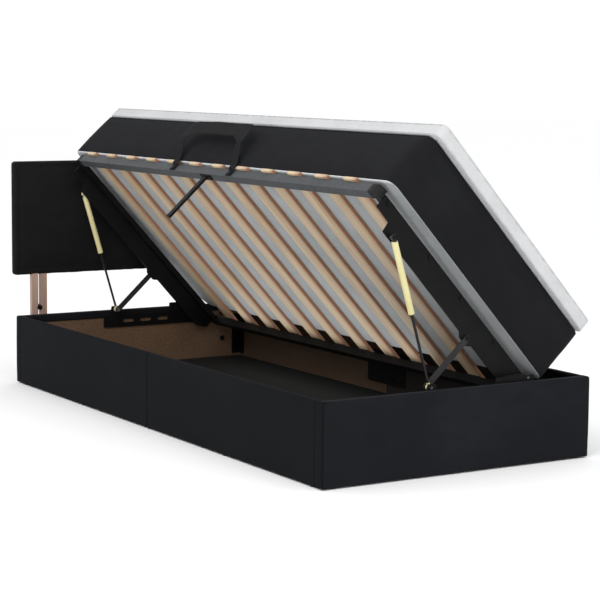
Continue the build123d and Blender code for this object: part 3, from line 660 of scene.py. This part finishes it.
# ------------------------------------------------------------------ mattress
def build_mattress():
    hx, hy, hz = 0.400 - 0.003, 1.00475 - 0.003, 0.090
    centre = np.array([0.400, -0.01175, 0.090])
    xs, ys = ticks(hx, 0.018, 0.034, 6), ticks(hy, 0.018, 0.034, 6)
    zs = ticks(hz, 0.015, 0.010, 4)
    p, faces, side = box_grid(xs, ys, zs)
    flat_z = p[:, 2].copy()
    p = round_off(p, hx, hy, hz, 0.032, 0.005, 0.009, blunt=0.057)
    index = np.where(side == 4, 1, 0)
    ob = make("mattress_cover", to_lid(p + centre), faces, [mattress_velvet, underside], None, index)
    d = np.minimum(hx - np.abs(p[:, 0]), hy - np.abs(p[:, 1]))
    held = np.abs(flat_z) > hz - 0.004
    cap_face = np.abs(flat_z) > hz - 1e-6
    w = np.where(held & (d < 0.02), 1.0, 0.0)
    # where it lies on the slats it stays flat
    y = p[:, 1] + centre[1]
    slat = np.zeros(len(p), bool)
    for k in range(12):
        slat |= np.abs(y - (-0.814 + 0.1497 * k)) < 0.036
    w = np.maximum(w, np.where((flat_z < -hz + 1e-6) & slat, 0.9, 0.0))
    w = np.maximum(w, np.where((flat_z > hz - 1e-6), 0.95, 0.0))
    swell(ob, w, 5.0, 0.0055, shrink=-0.002, bending=2.0)
    q, n = coords(ob), normals(ob)
    lid = p + centre
    border = ~cap_face
    z = lid[:, 2]
    crown = 0.0022 * np.clip(1 - ((z - 0.09) / 0.085) ** 2, 0, 1)
    folds = fractal(lid, (3, 3, 7), 1.3)
    fine = fractal(np.stack([lid[:, 0], lid[:, 1], lid[:, 2] * 2.2], 1), (13, 13, 13), 7.9)
    # the head end bulges most
    bulge = 0.0045 * np.clip(1 - ((z - 0.09) / 0.088) ** 2, 0, 1) * (p[:, 1] > hy - 0.002) * np.clip(
        1 - (np.abs(p[:, 0]) / (hx - 0.02)) ** 6, 0, 1)
    move = border * (crown + bulge + 0.0012 * folds + 0.0006 * fine) + cap_face * (0.0007 * fine)
    put(ob, q + n * move[:, None])
    subdivide(ob)
    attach(ob, "lid")
    for tag, z, inset, r in (("upper", hz - 0.0042, 0.0018, 0.0020),):
        path = [(x, y, z) for x, y in outline(hx - inset, hy - inset, 0.030)]
        seam = loop_tube(f"mattress_piping_{tag}", to_lid(np.array(path) + centre), r, mattress_velvet, "lid", n=7)
        seam.parent = ob
        seam.matrix_parent_inverse = ob.matrix_world.inverted()
    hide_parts("mattress")
    return ob


# ------------------------------------------------------------------ headboard
def build_headboard():
    """x across, y up the board, z from the wall (back) to the front face; front is -Y of the row frame."""
    hx, hy, hz = 0.460 - 0.0015, 0.203 - 0.0015, 0.015 - 0.0012
    mid = np.array([0.0, 1.021, 0.583])
    xs = ticks(hx, 0.013, 0.016, 6, extra=(hx - 0.020, -hx + 0.020))
    ys = ticks(hy, 0.013, 0.016, 6, extra=(hy - 0.020, -hy + 0.020))
    zs = ticks(hz, 0.006, 0.009, 5)
    p, faces, side = box_grid(xs, ys, zs)
    flat = p.copy()
    p = round_off(p, hx, hy, hz, 0.012, 0.003, 0.008)

    def place(v):
        return np.stack([v[:, 0] + mid[0], mid[1] - v[:, 2], v[:, 1] + mid[2]], axis=1)

    # turned over: the board's front looks towards -Y
    faces = [tuple(f) for f in faces]
    ob = make("headboard_upholstery", place(p), faces, [head_velvet], None)
    d = np.minimum(hx - np.abs(flat[:, 0]), hy - np.abs(flat[:, 1]))
    front = flat[:, 2] > hz - 1e-6
    w = np.where(front & (np.abs(d - 0.020) < 0.002), 1.0, 0.0)
    w = np.maximum(w, np.where(flat[:, 2] < hz - 0.012, 1.0, 0.0))
    swell(ob, w, 4.0, 0.0030, shrink=-0.003, bending=1.0)
    q = coords(ob)
    inner = np.clip((d - 0.020) / 0.06, 0, 1)
    crown = front * (0.0035 * inner * (2 - inner))
    groove = front * (-0.0012 * np.exp(-(((d - 0.020) / 0.0028) ** 2)))
    roll = front * (0.0008 * np.exp(-(((d - 0.010) / 0.006) ** 2)))
    waves = fractal(flat, (5, 5, 5), 2.2)
    fine = fractal(flat, (24, 24, 24), 6.1)
    move = crown + groove + roll + (front * 0.0009 + (~front) * 0.0004) * waves + 0.0003 * fine
    q[:, 1] -= move * (front * 1.0)
    put(ob, q)
    subdivide(ob)
    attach(ob, "base")
    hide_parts("headboard_cover")
    return ob


# ------------------------------------------------------------------ covers of the box
def arc(cx, cz, r, a0, a1, n):
    return [(cx + r * math.cos(math.radians(a0 + (a1 - a0) * k / n)),
             cz + r * math.sin(math.radians(a0 + (a1 - a0) * k / n))) for k in range(n + 1)]


def wrap_profile(width, low=0.004, top=0.240, flap=0.214, r=0.007):
    """Outline of the fabric over one panel: t is 0 at the outer face and width at the inner face, then up z.
    It starts under the panel, goes up outside, over the rim and ends at the flap inside."""
    pts = [(0.020, low + 0.0002), (0.010, low), (0.004, low + 0.0004)]
    pts += arc(0.0035, low + 0.0035, 0.0035, 250, 180, 4)
    n = 16
    z0, z1 = low + 0.0035, top - r
    pts += [(0.0, z0 + (z1 - z0) * k / n) for k in range(1, n)]
    pts += arc(r, top - r, r, 180, 90, 7)
    m = max(2, int((width - 2 * r) / 0.003))
    pts += [(r + (width - 2 * r) * k / m, top) for k in range(1, m)]
    pts += arc(width - r, top - r, r, 90, 0, 7)
    pts += [(width, top - r - (top - r - flap) * k / 4) for k in range(1, 5)]
    return np.array(pts)


def cover(name, node, origin, along, outward, length, width, seed, ends=(0.0025, 0.0025), closed_ends=(True, True),
          corner=(0.0, 0.0), seams=()):
    """Fabric over one panel. origin is the outer lower edge at one end, along and outward are unit vectors.
    corner gives the radius with which the fabric turns round the panel's end at each end of its length,
    seams the distances from the start at which an upright seam pulls it in."""
    prof = wrap_profile(width)
    ds = np.diff(prof, axis=0)
    s = np.concatenate([[0], np.cumsum(np.hypot(ds[:, 0], ds[:, 1]))])
    nt = len(prof)
    # outward normal of the profile in (t, z)
    tan = np.gradient(prof, axis=0)
    tan /= np.linalg.norm(tan, axis=1)[:, None]
    nrm = np.stack([-tan[:, 1], tan[:, 0]], axis=1)   # points to -t outside, up on the rim
    edge = [0.0, 0.0006, 0.0015, 0.003, 0.006, 0.012]
    inner = list(np.linspace(0.024, length - 0.024, max(4, int(length / 0.016))))
    us = edge + inner + [length - e for e in reversed(edge)]
    for q in seams:
        us = [u for u in us if abs(u - q) > 0.0105]
        us += [q + d for d in (-0.0095, -0.006, -0.004, -0.002, 0.0, 0.002, 0.004, 0.006, 0.0095)]
    us = np.array(sorted(us))
    verts = []
    along, outward = np.array(along, float), np.array(outward, float)
    origin = np.array(origin, float)
    up = np.array([0, 0, 1.0])
    pts3 = np.array([[u, t, z] for u in us for (t, z) in prof])
    wob = fractal(np.stack([pts3[:, 0], pts3[:, 1] * 2, pts3[:, 2]], 1), (5, 5, 9), seed, 3)
    fine = fractal(np.stack([pts3[:, 0], pts3[:, 1] * 2, pts3[:, 2]], 1), (26, 20, 26), seed + 4, 2)
    for iu, u in enumerate(us):
        for k in range(nt):
            t, z = prof[k]
            j = iu * nt + k
            face = min(1.0, max(0.0, (z - 0.006) / 0.05)) * min(1.0, max(0.0, (0.238 - z) / 0.02)) if t < 0.001 else 0.0
            pad = 0.0011 * math.sin(math.pi * min(1, max(0, (z - 0.004) / 0.236))) if t < 0.002 else 0.0
            lift = pad + 0.0009 * wob[j] * (0.35 + 0.65 * face) + 0.0003 * fine[j]
            # pulled in at both ends, where the fabric goes round the panel's end
            for side, dist in ((0, u), (1, length - u)):
                r = corner[side] or ends[side]
                if dist < r:
                    c = 1 - dist / r
                    depth = r if corner[side] else 0.0022
                    lift -= depth * (1 - math.sqrt(max(0.0, 1 - c * c)))
            for q in seams:
                lift -= 0.0019 * math.exp(-(((u - q) / 0.0028) ** 2))
            fade = 1.0 if t < width * 0.5 or corner == (0.0, 0.0) else 0.4
            t2 = t - nrm[k][0] * 0 + (-lift if t <= 0.0201 and z < 0.236 and t < width * 0.5 else 0.0)
            z2 = z
            if z > 0.228:
                t2 = t + nrm[k][0] * lift * fade
                z2 = z + nrm[k][1] * lift * fade
            elif t > width * 0.6:
                t2 = t + lift * 0.5
            verts.append(origin + along * u - outward * t2 + up * z2)
    faces = []
    nu = len(us)
    for i in range(nu - 1):
        for k in range(nt - 1):
            faces.append((i * nt + k, (i + 1) * nt + k, (i + 1) * nt + k + 1, i * nt + k + 1))
    ob = make(name, verts, faces, [box_velvet if abs(along[1]) > 0.5 else end_velvet], None)
    # consistent outward faces
    me = ob.data
    c = np.mean([np.array(me.polygons[i].normal) for i in range(0, len(me.polygons), max(1, len(me.polygons) // 200))
                 if me.polygons[i].center[2] > 0.02 and me.polygons[i].center[2] < 0.2], axis=0)
    if np.dot(c, outward) < 0:
        me.flip_normals()
    mod = ob.modifiers.new("cloth_and_wadding", "SOLIDIFY")
    mod.thickness = 0.0014
    mod.offset = -1.0
    mod.use_rim = True
    apply_all(ob)
    ob.data.polygons.foreach_set("use_smooth", [True] * len(ob.data.polygons))
    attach(ob, "base")
    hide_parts(node)
    return ob


def build_covers():
    y_mid = -0.019
    for side, s in (("near", -1), ("far", 1)):
        for half, y0, y1, turn, seam in (("foot", -1.034, y_mid - 0.0006, (0.0048, 0.0), 0.036),
                                         ("head", y_mid + 0.0006, 0.996, (0.0, 0.0048), 1.0144 - 0.036)):
            cover(f"{side}_{half}_upholstery", f"{side}_cover_{half}", (s * 0.460, y0, 0), (0, 1, 0), (s, 0, 0),
                  y1 - y0, 0.020, seed=3.3 + 5 * s + (2.1 if half == "foot" else 0), ends=(0.008, 0.008), corner=turn,
                  seams=(seam,))
    for end, y, s in (("foot", -1.034, -1), ("head", 0.996, 1)):
        cover(f"{end}_end_upholstery", f"{end}_end_cover", (-0.4565, y, 0), (1, 0, 0), (0, s, 0),
              0.913, 0.028, seed=13.7 + 4 * s, corner=(0.003, 0.003))


# ------------------------------------------------------------------ lifting strap
def smooth_path(points, n=8):
    """A rounded line through the points."""
    p = [np.array(q, float) for q in points]
    p = [2 * p[0] - p[1]] + p + [2 * p[-1] - p[-2]]
    out = []
    for i in range(1, len(p) - 2):
        for k in range(n):
            t = k / n
            a, b, c, d = p[i - 1], p[i], p[i + 1], p[i + 2]
            out.append(0.5 * ((2 * b) + (-a + c) * t + (2 * a - 5 * b + 4 * c - d) * t * t + (-a + 3 * b - 3 * c + d) * t**3))
    out.append(p[-2])
    return out


def ribbon(name, stations, thick, material, body, across=9):
    """A strap through pairs of edge points (a, Y, b), one pair per station, as a closed solid."""
    e0 = np.array([p for p, q in stations], float)
    e1 = np.array([q for p, q in stations], float)
    m = len(stations)
    u = np.linspace(0, 1, across)
    mid = e0[:, None] * (1 - u)[None, :, None] + e1[:, None] * u[None, :, None]
    t = np.gradient(mid, axis=0)
    w = np.gradient(mid, axis=1)
    n = np.cross(t, w)
    n /= np.maximum(np.linalg.norm(n, axis=2), 1e-9)[:, :, None]
    round_edge = np.sqrt(np.clip(1 - np.abs(2 * u - 1) ** 12, 0.02, 1))[None, :, None]
    # a shallow dish across the strap
    dish = 0.0009 * np.cos(math.pi * (u - 0.5))[None, :, None] * n
    front, back = mid + dish + n * thick / 2 * round_edge, mid + dish - n * thick / 2 * round_edge
    verts = np.concatenate([front.reshape(-1, 3), back.reshape(-1, 3)])
    k, off = across, m * across
    faces = []
    for i in range(m - 1):
        for j in range(k - 1):
            faces.append((i * k + j, i * k + j + 1, (i + 1) * k + j + 1, (i + 1) * k + j))
            faces.append((off + i * k + j, off + (i + 1) * k + j, off + (i + 1) * k + j + 1, off + i * k + j + 1))
        faces.append((i * k, (i + 1) * k, off + (i + 1) * k, off + i * k))
        faces.append((i * k + k - 1, off + i * k + k - 1, off + (i + 1) * k + k - 1, (i + 1) * k + k - 1))
    for j in range(k - 1):
        faces.append((j, off + j, off + j + 1, j + 1))
        z = (m - 1) * k
        faces.append((z + j, z + j + 1, off + z + j + 1, off + z + j))
    ob = make(name, to_lid(verts), faces, [material], body)
    bm = bmesh.new()
    bm.from_mesh(ob.data)
    bmesh.ops.recalc_face_normals(bm, faces=bm.faces)
    bm.to_mesh(ob.data)
    bm.free()
    ob.data.polygons.foreach_set("use_smooth", [True] * len(ob.data.polygons))
    return ob


def build_strap():
    y0, y1 = -0.180, 0.218
    line = [(0.0060, -0.038), (0.0060, -0.0195), (-0.0012, -0.0130), (-0.0024, 0.0), (-0.0062, 0.0108), (-0.0225, 0.0345),
            (-0.0405, 0.0600)]
    leg = smooth_path([(a, 0.0, b) for a, b in line], 5)
    stations = [((p[0], y0 + 0.034, p[2]), (p[0], y0, p[2])) for p in leg]
    turn = [((y0 + 0.034, 0.062), (y0, 0.062)), ((y0 + 0.050, 0.069), (y0 + 0.004, 0.105)),
            ((y0 + 0.072, 0.080), (y0 + 0.023, 0.1365)), ((y0 + 0.100, 0.0812), (y0 + 0.060, 0.1380)),
            ((y1 - 0.130, 0.0812), (y1 - 0.070, 0.1370)), ((y1 - 0.096, 0.080), (y1 - 0.023, 0.1360)),
            ((y1 - 0.060, 0.070), (y1 - 0.004, 0.105)), ((y1 - 0.034, 0.062), (y1, 0.062))]
    grip = []
    for i in range(len(turn) - 1):
        n = 16 if i == 3 else 5
        for k in range(n):
            t = k / n
            (a0, b0), (c0, d0) = turn[i]
            (a1, b1), (c1, d1) = turn[i + 1]
            yi, bi, yo, bo = a0 + (a1 - a0) * t, b0 + (b1 - b0) * t, c0 + (c1 - c0) * t, d0 + (d1 - d0) * t
            s = (yi + yo) / 2
            sag = -0.0025 * math.sin(math.pi * min(1, max(0, (s - y0) / (y1 - y0)))) - 0.0006 * math.sin(s * 41)
            grip.append(((-0.0415 + sag, yi, bi), (-0.0415 + sag, yo, bo)))
    stations += grip + [((p[0], y1 - 0.034, p[2]), (p[0], y1, p[2])) for p in reversed(leg)]
    strap = ribbon("lifting_strap_band", stations, 0.0028, strap_cloth, "lid")
    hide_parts("lifting_strap")
    # stitching: rows of short raised stitches along both edges of the grip
    verts, faces = [], []

    def stitch(p, q, up, r=0.00055):
        p, q, up = np.array(p), np.array(q), np.array(up, float)
        d = q - p
        length = np.linalg.norm(d)
        d /= length
        w = np.cross(d, up)
        n = max(1, int(round(length / 0.0052)))
        for i in range(n):
            a = p + d * (length * (i + 0.12) / n)
            b = p + d * (length * (i + 0.80) / n)
            base = len(verts)
            for c, s in ((a, 0.2), ((a * 3 + b) / 4, 1.0), ((a + 3 * b) / 4, 1.0), (b, 0.2)):
                verts.extend([c - w * r, c + up * r * s, c + w * r, c - up * r * 0.6])
            for j in range(3):
                for k in range(4):
                    faces.append((base + j * 4 + k, base + j * 4 + (k + 1) % 4, base + j * 4 + 4 + (k + 1) % 4,
                                  base + j * 4 + 4 + k))
            faces.append((base + 3, base + 2, base + 1, base))
            faces.append((base + 12, base + 13, base + 14, base + 15))

    out = (-1, 0, 0)
    rows = [(grip[i][0], grip[i][1], grip[i + 2][0], grip[i + 2][1]) for i in range(10, len(grip) - 12, 2)]
    for f in (0.07, 0.93):
        for p0, p1, q0, q1 in rows:
            a = np.array(p0) * (1 - f) + np.array(p1) * f
            b = np.array(q0) * (1 - f) + np.array(q1) * f
            a[0] -= 0.0016
            b[0] -= 0.0016
            if np.linalg.norm(b - a) > 0.004:
                stitch(a, b, out)
    st = make("lifting_strap_stitches", to_lid(np.array(verts)), faces, [thread], "lid", smooth=True)


thread_m = Mat("thread", roughness=0.7, specular=0.3)
thread_m.colour(thread_m.ramp(thread_m.noise(900, 2), [(0.3, srgb(19, 19, 21)), (0.7, srgb(30, 30, 33))]))
thread = thread_m.m

build_covers()
build_headboard()
build_mattress()
build_topper()
build_strap()

# ------------------------------------------------------------------ camera, floor, light
az, pitch, roll = math.radians(31.84), math.radians(6.90), math.radians(0.56)
fwd = Vector((math.sin(az) * math.cos(pitch), math.cos(az) * math.cos(pitch), -math.sin(pitch)))
right = Vector((math.cos(az), -math.sin(az), 0))
up = right.cross(fwd)
r2 = right * math.cos(roll) + up * math.sin(roll)
u2 = -right * math.sin(roll) + up * math.cos(roll)
camera_data = bpy.data.cameras.new("camera")
camera_data.lens = 114.30
camera_data.sensor_width = 36.0
camera_data.clip_end = 60
camera = bpy.data.objects.new("camera", camera_data)
camera.matrix_world = Matrix(((r2.x, u2.x, -fwd.x, -3.14348), (r2.y, u2.y, -fwd.y, -5.23499),
                              (r2.z, u2.z, -fwd.z, 1.11684), (0, 0, 0, 1)))
scene.collection.objects.link(camera)
scene.camera = camera

floor_mat = Mat("studio_floor", roughness=0.9, specular=0.1)
floor_mat.colour(floor_mat.ramp(floor_mat.noise(2, 2), [(0.3, (0.97, 0.97, 0.97, 1)), (0.7, (0.98, 0.98, 0.98, 1))]))
floor = make("studio_floor", [(-30, -30, 0), (30, -30, 0), (30, 30, 0), (-30, 30, 0)], [(0, 1, 2, 3)], [floor_mat.m], None,
             smooth=False)

world = bpy.data.worlds.new("studio")
scene.world = world
world.use_nodes = True
bg = world.node_tree.nodes["Background"]
bg.inputs["Color"].default_value = (1.0, 1.0, 1.0, 1)
bg.inputs["Strength"].default_value = 1.02


def area(name, location, target, size, power):
    data = bpy.data.lights.new(name, "AREA")
    data.shape = "RECTANGLE"
    data.size, data.size_y = size
    data.energy = power
    ob = bpy.data.objects.new(name, data)
    ob.location = location
    ob.rotation_euler = (Vector(target) - Vector(location)).to_track_quat("-Z", "Y").to_euler()
    scene.collection.objects.link(ob)
    return ob


glow = area("underside_fill", (0.02, 0.16, 0.20), (0.02, 0.16, 2.0), (0.55, 1.25), 1.75)
glow.visible_camera = False
area("key", (-3.6, -2.6, 4.2), (0, 0, 0.3), (3.0, 3.0), 95)
area("front", (-0.5, -5.2, 2.6), (0, 0, 0.4), (3.0, 2.0), 37)
